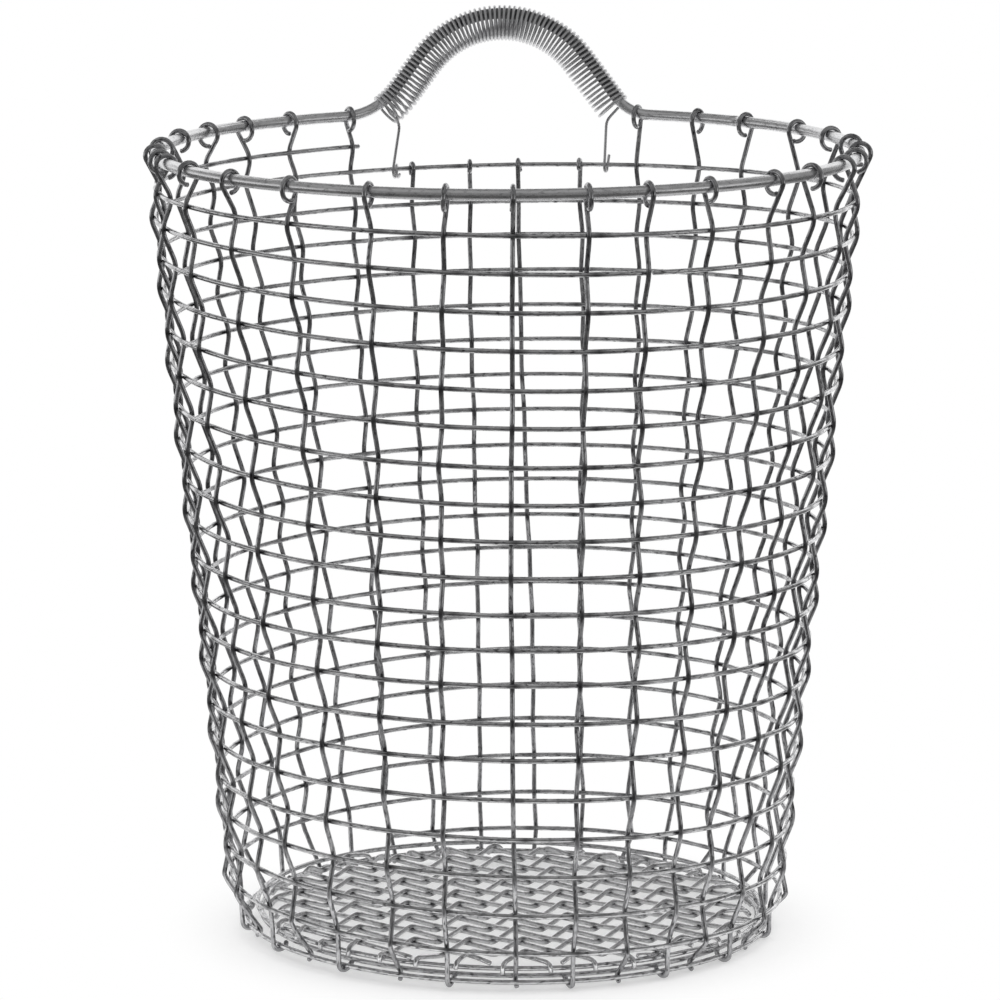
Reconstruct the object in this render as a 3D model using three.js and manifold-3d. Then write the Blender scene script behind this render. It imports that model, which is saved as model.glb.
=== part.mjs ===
// A round basket woven from steel wire, with a wire arch for a handle and a coil for a grip.
// Millimetres. The basket stands on z = 0 with its axis on z, its front towards -y and its handle at +y.
import * as THREE from "three";
import { mergeVertices } from "three/addons/utils/BufferGeometryUtils.js";
import Module from "manifold-3d";

const wasm = await Module();
wasm.setup();

// Rim and handle: one thick wire.
const RIM_RADIUS = 150;
const RIM_HEIGHT = 340;
const RIM_WIRE = 5;
const HANDLE_RISE = 45;
const HANDLE_ARC_RADIUS = 48;
const HANDLE_LEG_SLOPE = THREE.MathUtils.degToRad(52);
const HANDLE_FOOT_BEND = 20;

// Grip coil, wound loosely round the arch.
const COIL_WIRE = 1.05;
const COIL_DIAMETER = 15.4;
const COIL_TURN_GAP = 0.62;
const COIL_BARE_END = 15;

// Wall: an odd number of uprights, so one weaving wire changes side at each new row.
const MESH_WIRE = 2.1;
const UPRIGHTS = 33;
const ROWS = 20;
const FIRST_ROW_DROP = 10;
const LAST_ROW_HEIGHT = 12;
const START_DROP = 4;
const ROW_TILT = 2.4;
const WEFT_TAIL = 5.5;
const FRONT_TURN = THREE.MathUtils.degToRad(0.9);
// The uprights are set by eye: left of the front they stand a little wider apart.
const SPREAD = THREE.MathUtils.degToRad(8.3);
const SPREAD_MIDDLE = THREE.MathUtils.degToRad(304);
const SPREAD_REACH = THREE.MathUtils.degToRad(48);

// Foot and base.
const FOOT_RADIUS = 113.2;
const BOTTOM_ROW_STEP = 5;
const BASE_HEIGHT = 10.5;
const BASE_WIRES = 14;
const BASE_TURN = THREE.MathUtils.degToRad(48.6);

// Clear space where two wires bear on each other.
const SEAT_GAP = 0.3;

// Facets: sides of each wire and steps along its bends.
const RIM_SIDES = 8;
const FOOT_SIDES = 6;
const MESH_SIDES = 4;
const COIL_SIDES = 4;
const COIL_STEPS = 6;
const WEFT_STEPS = 20;
const RING_STEPS = 24;
const HOOK_STEP = THREE.MathUtils.degToRad(54);

// A faceted wire has the same cross-section area as the round one.
function cornerOf(diameter, sides) {
  const full = 2 * Math.PI;
  return (diameter / 2) * Math.sqrt(full / (sides * Math.sin(full / sides)));
}

function flatOf(diameter, sides) {
  return cornerOf(diameter, sides) * Math.cos(Math.PI / sides);
}

const RIM_CORNER = cornerOf(RIM_WIRE, RIM_SIDES);
const FOOT_CORNER = cornerOf(MESH_WIRE, FOOT_SIDES);
const MESH_CORNER = cornerOf(MESH_WIRE, MESH_SIDES);
const MESH_FLAT = flatOf(MESH_WIRE, MESH_SIDES);
const COIL_CORNER = cornerOf(COIL_WIRE, COIL_SIDES);

// Middle line of a hook of a thin wire round another wire.
function hookRadius(innerCorner, ownFlat) {
  return (innerCorner + ownFlat + SEAT_GAP) / Math.cos(HOOK_STEP / 2);
}

const RIM_HOOK = hookRadius(RIM_CORNER, MESH_FLAT);
const ROW_HOOK = hookRadius(MESH_CORNER, MESH_FLAT);
const FOOT_HOOK = hookRadius(FOOT_CORNER, MESH_FLAT);
const TAIL_HOOK = hookRadius(MESH_CORNER, COIL_CORNER);

// Distance between the middles of two mesh wires where they cross.
const CROSSING = 2 * MESH_FLAT + SEAT_GAP + 0.3 * MESH_WIRE;
// The uprights lean more between the first row and the rim, so they bend wider there.
const TOP_CROSSING = CROSSING + 0.16 * MESH_WIRE;
const FOOT_HEIGHT = FOOT_HOOK * Math.cos(HOOK_STEP / 2) + MESH_FLAT;

// A wire along a row of points. At each point "across" is square to the bend, and the section is mitred there.
class WirePath extends THREE.Curve {
  constructor(points, across, closed = false) {
    super();
    this.points = points;
    this.across = across;
    this.closed = closed;
  }

  getPoint(t, target = new THREE.Vector3()) {
    const count = this.points.length;
    const spans = this.closed ? count : count - 1;
    const i = Math.min(Math.floor(t * spans + 1e-6), spans - 1);
    return target.lerpVectors(this.points[i], this.points[(i + 1) % count], t * spans - i);
  }

  getPointAt(t, target) {
    return this.getPoint(t, target);
  }

  getSpacedPoints() {
    return this.points;
  }

  computeFrenetFrames() {
    const frames = { tangents: [], normals: [], binormals: [] };
    const count = this.points.length;
    const last = this.closed ? count : count - 1;
    for (let i = 0; i <= last; i++) {
      const here = this.points[i % count];
      const before = this.points[this.closed ? (i + count - 1) % count : Math.max(i - 1, 0)];
      const after = this.points[this.closed ? (i + 1) % count : Math.min(i + 1, last)];
      const arriving = here.clone().sub(before).normalize();
      const leaving = after.clone().sub(here).normalize();
      const tangent = arriving.clone().add(leaving).normalize();
      const normal = this.across[i % count].clone().cross(tangent).normalize();
      const binormal = tangent.clone().cross(normal);
      const straight = i > 0 && i < last ? leaving.dot(tangent) : 1;
      frames.tangents.push(tangent);
      frames.normals.push(normal.multiplyScalar(1 / straight));
      frames.binormals.push(binormal);
    }
    return frames;
  }
}

function wireGeometry(points, across, diameter, sides) {
  const corner = cornerOf(diameter, sides);
  const outline = [];
  for (let i = 0; i < sides; i++) {
    const angle = ((i + 0.5) / sides) * 2 * Math.PI;
    outline.push(new THREE.Vector2(corner * Math.cos(angle), corner * Math.sin(angle)));
  }
  return new THREE.ExtrudeGeometry(new THREE.Shape(outline), {
    steps: points.length - 1,
    bevelEnabled: false,
    extrudePath: new WirePath(points, across),
  });
}

function planarWire(points, across, diameter, sides) {
  return wireGeometry(points, points.map(() => across), diameter, sides);
}

const STEEL = { color: 0x9b9da0, roughness: 0.38, metalness: 1 };
const basket = new THREE.Group();
basket.name = "woven_wire_basket";

function addMesh(name, geometry, look = STEEL) {
  const mesh = new THREE.Mesh(geometry, new THREE.MeshStandardMaterial(look));
  mesh.name = name;
  basket.add(mesh);
  return mesh;
}

// Bearings run from the front, towards +x, round to the handle.
const SPACING = (2 * Math.PI) / UPRIGHTS;
const HANDLE_BEARING = Math.PI + FRONT_TURN;

function atBearing(bearing, radius, height) {
  return new THREE.Vector3(radius * Math.sin(bearing), -radius * Math.cos(bearing), height);
}

// The arch, drawn flat: along the rim from the middle of the handle, and up from the rim.
const ARC_MIDDLE = HANDLE_RISE - HANDLE_ARC_RADIUS;
const LEG_TOP_ALONG = HANDLE_ARC_RADIUS * Math.sin(HANDLE_LEG_SLOPE);
const LEG_TOP_HEIGHT = ARC_MIDDLE + HANDLE_ARC_RADIUS * Math.cos(HANDLE_LEG_SLOPE);
const LEG_FOOT_ALONG = LEG_TOP_ALONG + LEG_TOP_HEIGHT / Math.tan(HANDLE_LEG_SLOPE);
const ARCH_HALF = LEG_FOOT_ALONG + HANDLE_FOOT_BEND * Math.tan(HANDLE_LEG_SLOPE / 2);

const arch = new THREE.Path();
const quarter = Math.PI / 2;
arch.absarc(-ARCH_HALF, HANDLE_FOOT_BEND, HANDLE_FOOT_BEND, -quarter, HANDLE_LEG_SLOPE - quarter, false);
arch.absarc(0, ARC_MIDDLE, HANDLE_ARC_RADIUS, quarter + HANDLE_LEG_SLOPE, quarter - HANDLE_LEG_SLOPE, true);
arch.absarc(ARCH_HALF, HANDLE_FOOT_BEND, HANDLE_FOOT_BEND, 3 * quarter - HANDLE_LEG_SLOPE, 3 * quarter, false);

// The flat drawing is wrapped on the cylinder of the rim.
function onRim(along, up, out = 0) {
  return atBearing(HANDLE_BEARING + along / RIM_RADIUS, RIM_RADIUS + out, RIM_HEIGHT + up);
}

// Uprights on either side of the middle of the handle that are too close to it to reach the rim.
const SHORT_EACH_SIDE = Math.ceil((ARCH_HALF + MESH_WIRE) / RIM_RADIUS / SPACING - 0.5);
const SHORT_UPRIGHTS = 2 * SHORT_EACH_SIDE;
const TALL_UPRIGHTS = UPRIGHTS - SHORT_UPRIGHTS;

// Upright 0 is the first tall one past the handle, where the weaving wire starts.
function uprightBearing(index) {
  const even = HANDLE_BEARING + (SHORT_EACH_SIDE + 0.5 + index) * SPACING;
  const away = (even - SPREAD_MIDDLE) / SPREAD_REACH;
  return Math.abs(away) < 1 ? even - SPREAD * Math.cos((away * Math.PI) / 2) ** 2 : even;
}

// Position of an upright along the weaving wire, in turns from upright 0.
function uprightTurns(index) {
  return (uprightBearing(index) - uprightBearing(0)) / (2 * Math.PI);
}

// Names go by the place round the basket, counted from the middle of the handle.
function uprightName(index) {
  const place = ((index + SHORT_EACH_SIDE) % UPRIGHTS) + 1;
  return "upright_" + String(place).padStart(2, "0");
}

// Rim and handle.
const rimPoints = [];
const archSteps = [4, 1, 8, 1, 4];
arch.curves.forEach((curve, i) => {
  const points = curve.getPoints(archSteps[i]);
  for (const point of i ? points.slice(1) : points) {
    rimPoints.push(onRim(point.x, point.y));
  }
});
for (let i = 0; i < TALL_UPRIGHTS; i++) {
  rimPoints.push(atBearing(uprightBearing(i), RIM_RADIUS, RIM_HEIGHT));
}
const rimAcross = rimPoints.map((point) => new THREE.Vector3(-point.x, -point.y, 0).normalize());
const rimPath = new WirePath(rimPoints, rimAcross, true);
const rimGeometry = new THREE.TubeGeometry(rimPath, rimPoints.length, RIM_CORNER, RIM_SIDES, true);
addMesh("rim_and_handle", rimGeometry, { color: 0xa3a5a8, roughness: 0.33, metalness: 1 });

// Weaving wire: position counted in turns from upright 0.
const FIRST_ROW = RIM_HEIGHT - FIRST_ROW_DROP;
const BOTTOM_ROW_RADIUS = FOOT_RADIUS + BOTTOM_ROW_STEP;

function wallRadius(height) {
  const share = (height - LAST_ROW_HEIGHT) / (FIRST_ROW - LAST_ROW_HEIGHT);
  return BOTTOM_ROW_RADIUS + (RIM_RADIUS - BOTTOM_ROW_RADIUS) * share;
}

function weftBearing(turns) {
  return uprightBearing(0) + 2 * Math.PI * turns;
}

// The rows start nearly level under the rim, and the lowest ones dip towards the front.
function weftHeight(turns) {
  const fall = ((FIRST_ROW - LAST_ROW_HEIGHT) * turns) / ROWS;
  const start = START_DROP * Math.max(0, 1 - 2 * turns) ** 2;
  const tilt = ROW_TILT * THREE.MathUtils.smoothstep(turns / ROWS, 0.65, 0.95);
  return FIRST_ROW - fall - start - tilt * Math.cos(weftBearing(turns));
}

const WEFT_LEAD = WEFT_TAIL / (2 * Math.PI * RIM_RADIUS);
const WEFT_END = ROWS - 1 / UPRIGHTS + WEFT_LEAD;
const weftTurns = [-WEFT_LEAD];
for (let step = 0; step / WEFT_STEPS < WEFT_END - WEFT_LEAD; step++) {
  weftTurns.push(step / WEFT_STEPS);
}
weftTurns.push(WEFT_END);
const weftPoints = weftTurns.map((turns) => {
  const height = weftHeight(turns);
  return atBearing(weftBearing(turns), wallRadius(height), height);
});
const upward = new THREE.Vector3(0, 0, 1);
addMesh("weaving_wire", planarWire(weftPoints, upward, MESH_WIRE, MESH_SIDES));

// Radius and height of the faceted weaving wire where it passes a bearing.
function weftAt(turns) {
  let i = 0;
  while (i < weftTurns.length - 2 && weftTurns[i + 1] < turns) i++;
  const a = weftPoints[i];
  const b = weftPoints[i + 1];
  const ray = atBearing(weftBearing(turns), 1, 0);
  const gapX = b.x - a.x;
  const gapY = b.y - a.y;
  const share = (a.y * ray.x - a.x * ray.y) / (gapX * ray.y - gapY * ray.x);
  const radius = Math.hypot(a.x + gapX * share, a.y + gapY * share);
  return { r: radius, z: a.z + (b.z - a.z) * share };
}

// Points are laid in the plane of an upright: x outwards, z up. Side +1 is outside, -1 inside.
function flatPoint(r, z) {
  return new THREE.Vector3(r, 0, z);
}

function hookPoint(centre, radius, side, angle) {
  return flatPoint(centre.r + side * radius * Math.cos(angle), centre.z + radius * Math.sin(angle));
}

// A hook that comes up on one side of a wire and turns over it.
function hookOver(centre, radius, side, from, end) {
  const dx = side * (from.x - centre.r);
  const dz = from.z - centre.z;
  const start = Math.atan2(dz, dx) + Math.acos(radius / Math.hypot(dx, dz));
  const steps = Math.ceil((end - start) / HOOK_STEP - 0.1);
  const points = [];
  for (let i = 0; i <= steps; i++) {
    points.push(hookPoint(centre, radius, side, start + ((end - start) * i) / steps));
  }
  return points;
}

// A hook that comes down on one side of a wire and turns under it, with a level stretch at the bottom.
function hookUnder(centre, radius, side, from, end) {
  const dx = side * (from.x - centre.r);
  const dz = from.z - centre.z;
  const start = Math.atan2(dz, dx) - Math.acos(radius / Math.hypot(dx, dz));
  const points = [hookPoint(centre, radius, side, start)];
  for (let angle = 2.5 * HOOK_STEP - Math.PI / 2; angle > end; angle -= HOOK_STEP) {
    if (angle < start - HOOK_STEP / 8) points.push(hookPoint(centre, radius, side, angle));
  }
  return points;
}

const foot = { r: FOOT_RADIUS, z: FOOT_HEIGHT };
const rim = { r: RIM_RADIUS, z: RIM_HEIGHT };
const RIM_HOOK_END = THREE.MathUtils.degToRad(250);
const ROW_HOOK_END = THREE.MathUtils.degToRad(230);
const FOOT_INNER_END = THREE.MathUtils.degToRad(-175);
const FOOT_OUTER_END = THREE.MathUtils.degToRad(-120);

function crossingSide(index, row) {
  return (index + row) % 2 ? 1 : -1;
}

// Each upright from its lowest crossing: first the part below it, then the part above.
function uprightParts(index) {
  const crossings = [];
  for (let row = 0; row < ROWS; row++) {
    const weft = weftAt(uprightTurns(index) + row);
    const reach = row ? CROSSING : TOP_CROSSING;
    crossings.push(flatPoint(weft.r + crossingSide(index, row) * reach, weft.z));
  }
  const lowest = crossings[ROWS - 1];
  const footSide = -crossingSide(index, ROWS - 1);
  const below = [];
  if (footSide < 0) below.push(flatPoint(lowest.x, lowest.z - MESH_WIRE));
  const end = footSide > 0 ? FOOT_INNER_END : FOOT_OUTER_END;
  below.push(...hookUnder(foot, FOOT_HOOK, footSide, below[0] ?? lowest, end));
  const tall = index < TALL_UPRIGHTS;
  const first = tall ? 0 : 1;
  const above = crossings.slice(first).reverse();
  const hold = tall ? rim : weftAt(uprightTurns(index));
  const hook = tall ? RIM_HOOK : ROW_HOOK;
  const stop = tall ? RIM_HOOK_END : ROW_HOOK_END;
  above.push(...hookOver(hold, hook, crossingSide(index, first + 1), crossings[first], stop));
  return { below, above, footSide };
}

const flatAcross = new THREE.Vector3(0, 1, 0);
const uprights = [];
for (let index = 0; index < UPRIGHTS; index++) {
  const parts = uprightParts(index);
  uprights.push(parts);
  const points = [...parts.below].reverse().concat(parts.above);
  const mesh = addMesh(uprightName(index), planarWire(points, flatAcross, MESH_WIRE, MESH_SIDES));
  mesh.rotation.z = uprightBearing(index) - Math.PI / 2;
}

// Foot ring, with a corner at each upright.
const footPoints = [];
for (let index = 0; index < UPRIGHTS; index++) {
  footPoints.push(atBearing(uprightBearing(index), FOOT_RADIUS, FOOT_HEIGHT));
}
const footPath = new WirePath(footPoints, footPoints.map(() => upward), true);
addMesh("foot_ring", new THREE.TubeGeometry(footPath, UPRIGHTS, FOOT_CORNER, FOOT_SIDES, true));

// Base ring: one wire wound twice. The upper turn lies just inside the uprights that tuck inwards.
const RING_HEIGHT = BASE_HEIGHT - 2 * MESH_FLAT - SEAT_GAP;
const RING_STACK = 1.7 * MESH_WIRE;
const LOWER_RING_RADIUS = FOOT_RADIUS - FOOT_HOOK - 2 * MESH_FLAT - SEAT_GAP;

function roomInsideUprights(height) {
  let room = Infinity;
  for (const { below, footSide } of uprights) {
    if (footSide > 0) continue;
    const lean = (below[0].x - below[1].x) / (below[0].z - below[1].z);
    const middle = below[1].x + lean * (height - below[1].z);
    room = Math.min(room, middle - (2 * MESH_FLAT + 1.6 * SEAT_GAP) * Math.hypot(1, lean));
  }
  return room;
}

const RING_RADIUS = roomInsideUprights(RING_HEIGHT);
const ringPoints = [];
for (let i = 0; i < 2 * RING_STEPS; i++) {
  const drop = THREE.MathUtils.smoothstep(i, RING_STEPS - 3, RING_STEPS);
  const radius = THREE.MathUtils.lerp(RING_RADIUS, LOWER_RING_RADIUS, drop);
  const bearing = HANDLE_BEARING + (2 * Math.PI * (i + 0.5)) / RING_STEPS;
  ringPoints.push(atBearing(bearing, radius, RING_HEIGHT - RING_STACK * drop));
}
const ringGeometry = planarWire(ringPoints, upward, MESH_WIRE, MESH_SIDES);

// Base wires: two sets, each laid along x and then turned. One set lies straight on the base ring, the other
// is crimped and passes over and under it by turns.
const BASE_PITCH = (2 * RING_RADIUS) / (BASE_WIRES - 0.25);
const HOOKED_WIRES = BASE_WIRES - 4;
const BASE_SLOPE = 0.28;

function baseOffset(index) {
  return (index - (BASE_WIRES - 1) / 2) * BASE_PITCH;
}

// True where the end of a base wire can bend down between the uprights that tuck inwards.
function endHasRoom(point, turn) {
  const end = point.clone().applyAxisAngle(upward, turn);
  const reach = 2 * MESH_CORNER + 2 * SEAT_GAP;
  return uprights.every(({ footSide }, index) => {
    if (footSide > 0) return true;
    const outward = atBearing(uprightBearing(index), 1, 0);
    const aside = Math.abs(end.x * outward.y - end.y * outward.x);
    return aside > reach || end.x * outward.x + end.y * outward.y < 0;
  });
}

// How much higher than the straight set a base wire lies where it crosses another one.
function baseLift(index, other, crimped) {
  if (!crimped) return 0;
  return (index + other) % 2 ? -CROSSING : CROSSING;
}

function baseWirePoints(index, crimped, turn) {
  const offset = baseOffset(index);
  const onRing = Math.sqrt(RING_RADIUS ** 2 - offset ** 2);
  const hooked = Math.abs(offset) < baseOffset((BASE_WIRES + HOOKED_WIRES) / 2 - 0.5);
  const slant = RING_RADIUS / onRing;
  const clear = (2 * MESH_FLAT + SEAT_GAP) * slant;
  const at = (along, up) => new THREE.Vector3(along, offset, BASE_HEIGHT + up);
  const crossings = [];
  for (let other = 0; other < BASE_WIRES; other++) {
    const along = baseOffset(other);
    if (Math.abs(along) < onRing) crossings.push(at(along, baseLift(index, other, crimped)));
  }
  const points = crimped ? crossings : [];
  for (const side of [-1, 1]) {
    const last = side > 0 ? crossings.at(-1) : crossings[0];
    const up = last.z - BASE_HEIGHT;
    const far = onRing - Math.abs(last.x);
    const end = [];
    if (!hooked) {
      end.push(at(side * (onRing - 2 * MESH_WIRE), 0));
      end.push(new THREE.Vector3(side * onRing, offset, RING_HEIGHT));
    } else if (up < 0 && far < 4 * MESH_WIRE) {
      end.push(at(side * (onRing - clear - MESH_WIRE / 2), up));
    } else {
      const rest = Math.max(0, up - BASE_SLOPE * far);
      const tip = new THREE.Vector3(side * (onRing + clear), offset, RING_HEIGHT - MESH_FLAT);
      const bends = slant < 1.25 && endHasRoom(tip, turn);
      if (up < 0) end.push(at(side * (onRing - 1.4 * clear), 0));
      end.push(at(side * (onRing + (bends ? clear : 0.4 * clear)), rest));
      if (bends) end.push(tip);
    }
    if (side > 0) points.push(...end);
    else points.unshift(...end.reverse());
  }
  return { points, hooked };
}

function solidOf(geometry) {
  const plain = geometry.index ? geometry.toNonIndexed() : geometry.clone();
  plain.deleteAttribute("normal");
  plain.deleteAttribute("uv");
  const merged = mergeVertices(plain, 1e-4);
  return new wasm.Manifold(
    new wasm.Mesh({
      numProp: 3,
      vertProperties: merged.attributes.position.array,
      triVerts: new Uint32Array(merged.index.array),
    }),
  );
}

function geometryOf(solid) {
  const mesh = solid.getMesh();
  const geometry = new THREE.BufferGeometry();
  geometry.setAttribute("position", new THREE.BufferAttribute(new Float32Array(mesh.vertProperties), 3));
  geometry.setIndex(new THREE.BufferAttribute(new Uint32Array(mesh.triVerts), 1));
  geometry.computeVertexNormals();
  return geometry;
}

// The shortest wires at the edge are welded to the base ring, the others stay loose in the weave.
let baseRing = solidOf(ringGeometry);
const baseSets = [
  { name: "a", turn: BASE_TURN, crimped: true },
  { name: "b", turn: BASE_TURN - Math.PI / 2, crimped: false },
];
for (const { name, turn, crimped } of baseSets) {
  for (let index = 0; index < BASE_WIRES; index++) {
    const { points, hooked } = baseWirePoints(index, crimped, turn);
    const geometry = planarWire(points, flatAcross, MESH_WIRE, MESH_SIDES);
    if (hooked) {
      const label = "base_wire_" + name + "_" + String(index + 1).padStart(2, "0");
      addMesh(label, geometry).rotation.z = turn;
    } else {
      baseRing = baseRing.add(solidOf(geometry.rotateZ(turn)));
    }
  }
}
addMesh("base_ring", geometryOf(baseRing));

// Grip coil: it hangs on the arch, so its middle lies below the middle of the wire inside it.
const COIL_RADIUS = (COIL_DIAMETER - COIL_WIRE) / 2;
const COIL_SEAT = (RIM_CORNER + COIL_CORNER + SEAT_GAP) / Math.cos(Math.PI / COIL_STEPS);
const COIL_SAG = COIL_RADIUS - COIL_SEAT;
const COIL_LENGTH = arch.getLength() - 2 * COIL_BARE_END;
const TIGHT_RADIUS = HANDLE_ARC_RADIUS - COIL_SAG - COIL_RADIUS;
const COIL_PITCH = ((COIL_WIRE + COIL_TURN_GAP) * HANDLE_ARC_RADIUS) / TIGHT_RADIUS;
const COIL_TURNS = Math.floor(COIL_LENGTH / COIL_PITCH);

const coilPoints = [];
const coilAcross = [];
for (let step = 0; step <= COIL_TURNS * COIL_STEPS; step++) {
  const share = step / (COIL_TURNS * COIL_STEPS);
  const at = (COIL_BARE_END + COIL_LENGTH * share) / arch.getLength();
  const core = arch.getPointAt(at);
  const along = arch.getTangentAt(at);
  const turn = Math.PI + (2 * Math.PI * step) / COIL_STEPS;
  const up = COIL_RADIUS * Math.cos(turn) - COIL_SAG;
  coilPoints.push(onRim(core.x - along.y * up, core.y + along.x * up, COIL_RADIUS * Math.sin(turn)));
  const ahead = onRim(core.x + along.x, core.y + along.y).sub(onRim(core.x, core.y));
  coilAcross.push(ahead.normalize());
}

// Each tail leaves the underside of the coil and hooks round the first row between two uprights.
function coilTail(start, bearing, turns, side) {
  const outward = atBearing(bearing, 1, 0);
  const plane = (point) => atBearing(bearing, point.x, point.z);
  const from = flatPoint(Math.hypot(start.x, start.y) + side * COIL_WIRE, start.z - 2 * COIL_WIRE);
  const hook = hookUnder(weftAt(turns), TAIL_HOOK, side, from, THREE.MathUtils.degToRad(-160));
  const bend = start.clone().addScaledVector(outward, side * COIL_WIRE * 1.4);
  bend.z -= COIL_WIRE;
  const points = [bend, ...hook.map(plane)];
  const across = atBearing(bearing + Math.PI / 2, 1, 0);
  return { points, across: points.map(() => across) };
}

const TAIL_SHARE = 0.3;
const firstTail = TALL_UPRIGHTS - TAIL_SHARE;
const lastTail = UPRIGHTS - 1 + TAIL_SHARE;
const tailA = coilTail(coilPoints[0], uprightBearing(firstTail), uprightTurns(firstTail), 1);
const tailB = coilTail(coilPoints.at(-1), uprightBearing(lastTail), uprightTurns(lastTail), -1);
coilPoints.unshift(...tailA.points.reverse());
coilAcross.unshift(...tailA.across.reverse());
coilPoints.push(...tailB.points);
coilAcross.push(...tailB.across);
const coilGeometry = wireGeometry(coilPoints, coilAcross, COIL_WIRE, COIL_SIDES);
addMesh("grip_coil", coilGeometry, { color: 0xb0b2b4, roughness: 0.3, metalness: 1 });

// Least clear space between neighbouring turns, measured on points along the wire.
function leastGap(points, diameter, skip) {
  const dense = [];
  points.slice(1).forEach((point, i) => {
    for (let k = 0; k < 4; k++) dense.push(points[i].clone().lerp(point, k / 4));
  });
  let least = Infinity;
  for (let i = 0; i < dense.length; i++) {
    for (let j = i + skip; j < Math.min(dense.length, i + 6 * skip); j++) {
      least = Math.min(least, dense[i].distanceTo(dense[j]));
    }
  }
  return least - diameter;
}
const coilGap = leastGap(coilPoints, COIL_WIRE, 2 * COIL_STEPS);
console.log("grip coil: " + COIL_TURNS + " turns, least gap between turns " + coilGap.toFixed(2) + " mm");
console.log("base ring radius " + RING_RADIUS.toFixed(2) + ", base pitch " + BASE_PITCH.toFixed(2) + " mm");

export default basket;
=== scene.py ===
# %% [markdown]
# # A basket made of nothing but wire
# The whole basket is five kinds of wire: a thick hoop that is rim and handle in one, a thin coil round
# the handle, one long weaving wire, a ring of crimped uprights, and a woven floor. The solids that carry
# weight and collide come from the measured frame. Here each of them gets a smooth round wire with a
# drawn-steel finish that takes its place.

# %% Load the measured frame
import math
import random

import bpy
import numpy as np
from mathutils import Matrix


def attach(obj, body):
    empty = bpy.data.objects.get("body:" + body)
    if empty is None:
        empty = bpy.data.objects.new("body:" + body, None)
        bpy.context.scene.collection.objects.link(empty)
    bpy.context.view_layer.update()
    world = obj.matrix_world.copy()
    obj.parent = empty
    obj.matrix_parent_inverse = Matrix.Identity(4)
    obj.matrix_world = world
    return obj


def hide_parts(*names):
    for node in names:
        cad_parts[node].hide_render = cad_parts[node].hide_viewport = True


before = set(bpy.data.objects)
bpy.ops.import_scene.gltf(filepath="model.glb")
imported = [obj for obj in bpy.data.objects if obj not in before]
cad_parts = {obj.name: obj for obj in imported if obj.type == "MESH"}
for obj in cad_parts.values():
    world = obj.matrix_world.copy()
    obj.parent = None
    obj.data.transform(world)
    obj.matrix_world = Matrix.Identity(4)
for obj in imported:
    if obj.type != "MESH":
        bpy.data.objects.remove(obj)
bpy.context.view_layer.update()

scene = bpy.context.scene
scene.view_settings.view_transform = "Standard"
MM = 0.001
luck = random.Random(33)


# %% [markdown]
# ## Camera
# The picture was taken from a little above the rim with a long lens, from over two metres away, so the
# uprights hardly converge. The values below put the rim, the foot and the handle where they are in the
# picture.

# %% Set up the camera
CAMERA_AT = (-0.00278, -2.3442, 0.6184)
CAMERA_DOWN, CAMERA_ROLL = 10.397, 0.118
camera_data = bpy.data.cameras.new("long_lens")
camera_data.sensor_width = 36
camera_data.lens = 198.5
camera = bpy.data.objects.new("long_lens", camera_data)
camera.location = CAMERA_AT
camera.rotation_euler = (math.radians(90 - CAMERA_DOWN), math.radians(CAMERA_ROLL), 0)
scene.collection.objects.link(camera)
scene.camera = camera
print("camera", [round(v, 3) for v in camera.location], "lens", camera_data.lens)

# %% [markdown]
# ## Drawn steel
# Wire gets its surface from the die it is pulled through: long fine scratches along its length, and patches
# where the lubricant dulled it. Where another wire bears on it, the wire is painted dark: partly a rub mark,
# and partly painted shade for the contact shadow there. A texture that runs along the wire needs coordinates
# that do the same, so every wire below carries its own map, in millimetres along and around. The noise is
# squeezed round the wire and stretched along it.

# %% Add shader nodes with their sockets filled in
def add_node(tree, kind, sockets=()):
    """A shader node of a kind; sockets is a dict of the values to set on it."""
    node = tree.nodes.new(kind)
    for socket, value in dict(sockets).items():
        node.inputs[socket].default_value = value
    return node


def add_math(tree, operation, second=None):
    """A math node, with its second number set if one is given."""
    node = tree.nodes.new("ShaderNodeMath")
    node.operation = operation
    if second is not None:
        node.inputs[1].default_value = second
    return node


def blank_material(name):
    material = bpy.data.materials.new(name)
    material.use_nodes = True
    material.node_tree.nodes.clear()
    return material


print("node helpers ready")

# %% Describe what the die and the weaving leave on a wire, and the painted contact shade
SCRATCH_STRETCH, DASH_STRETCH, PATCH_SIZE = 0.30, 0.36, 0.16
SCRATCH_DEPTH = 0.00006
MARK_FROM, MARK_FULL = 0.55, 0.68


def scratches_and_patches(tree, along, streaks):
    """Fine scratches along the wire, and soft patches of lubricant."""
    link = tree.links.new
    stretch = add_node(tree, "ShaderNodeMapping", {"Scale": (SCRATCH_STRETCH, streaks, 1.0)})
    scratches = add_node(tree, "ShaderNodeTexNoise", {"Scale": 1.0, "Detail": 4.0, "Roughness": 0.65})
    patches = add_node(tree, "ShaderNodeTexNoise", {"Scale": PATCH_SIZE, "Detail": 3.0})
    link(along.outputs["UV"], stretch.inputs["Vector"])
    link(stretch.outputs["Vector"], scratches.inputs["Vector"])
    link(along.outputs["UV"], patches.inputs["Vector"])
    return scratches.outputs["Fac"], patches.outputs["Fac"]


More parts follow.
